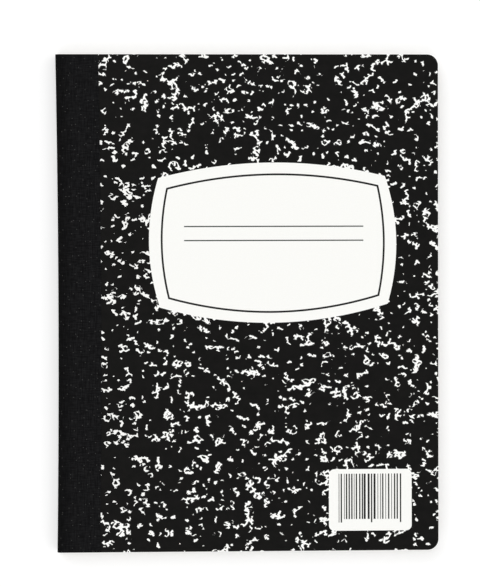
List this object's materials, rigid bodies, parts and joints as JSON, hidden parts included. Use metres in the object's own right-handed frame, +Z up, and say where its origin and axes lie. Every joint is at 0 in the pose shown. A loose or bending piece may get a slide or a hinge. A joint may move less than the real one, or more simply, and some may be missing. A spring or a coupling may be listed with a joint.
{
  "type": "composition notebook",
  "caption": "Hard-cover sewn notebook with marbled covers, a black cloth tape spine, rounded fore-edge corners and a blank framed title label; both covers open.",
  "frame": {"origin": "under the middle of the closed book, on the surface it lies on", "axes": "+X across the covers from the spine to the fore edge, +Y from tail to head, +Z up through the thickness, out of the front cover"},
  "size_m": [0.1906, 0.2476, 0.0102],
  "materials": {
    "page_paper": "matte",
    "lining_paper": "matte",
    "marbled_paper": "satin",
    "greyboard": "matte",
    "cloth_tape": "matte",
    "sewing_thread": "matte"
  },
  "bodies": {
    "pages": {"page_block": "page_paper", "needle_thread": "sewing_thread", "bobbin_thread": "sewing_thread", "spine_tape": "cloth_tape"},
    "front_cover": {"front_board": "greyboard", "front_lining": "lining_paper", "front_facing": "marbled_paper"},
    "back_cover": {"back_board": "greyboard", "back_lining": "lining_paper", "back_facing": "marbled_paper"}
  },
  "joints": [
    {"name": "front_cover_hinge", "type": "hinge", "parent": "pages", "child": "front_cover", "pos_m": [-0.09415, 0, 0.00887], "axis": [0, -1, 0], "range_deg": [0, 180], "deforming": ["spine_tape"]},
    {"name": "back_cover_hinge", "type": "hinge", "parent": "pages", "child": "back_cover", "pos_m": [-0.09415, 0, 0.00137], "axis": [0, 1, 0], "range_deg": [0, 180], "deforming": ["spine_tape"]}
  ]
}
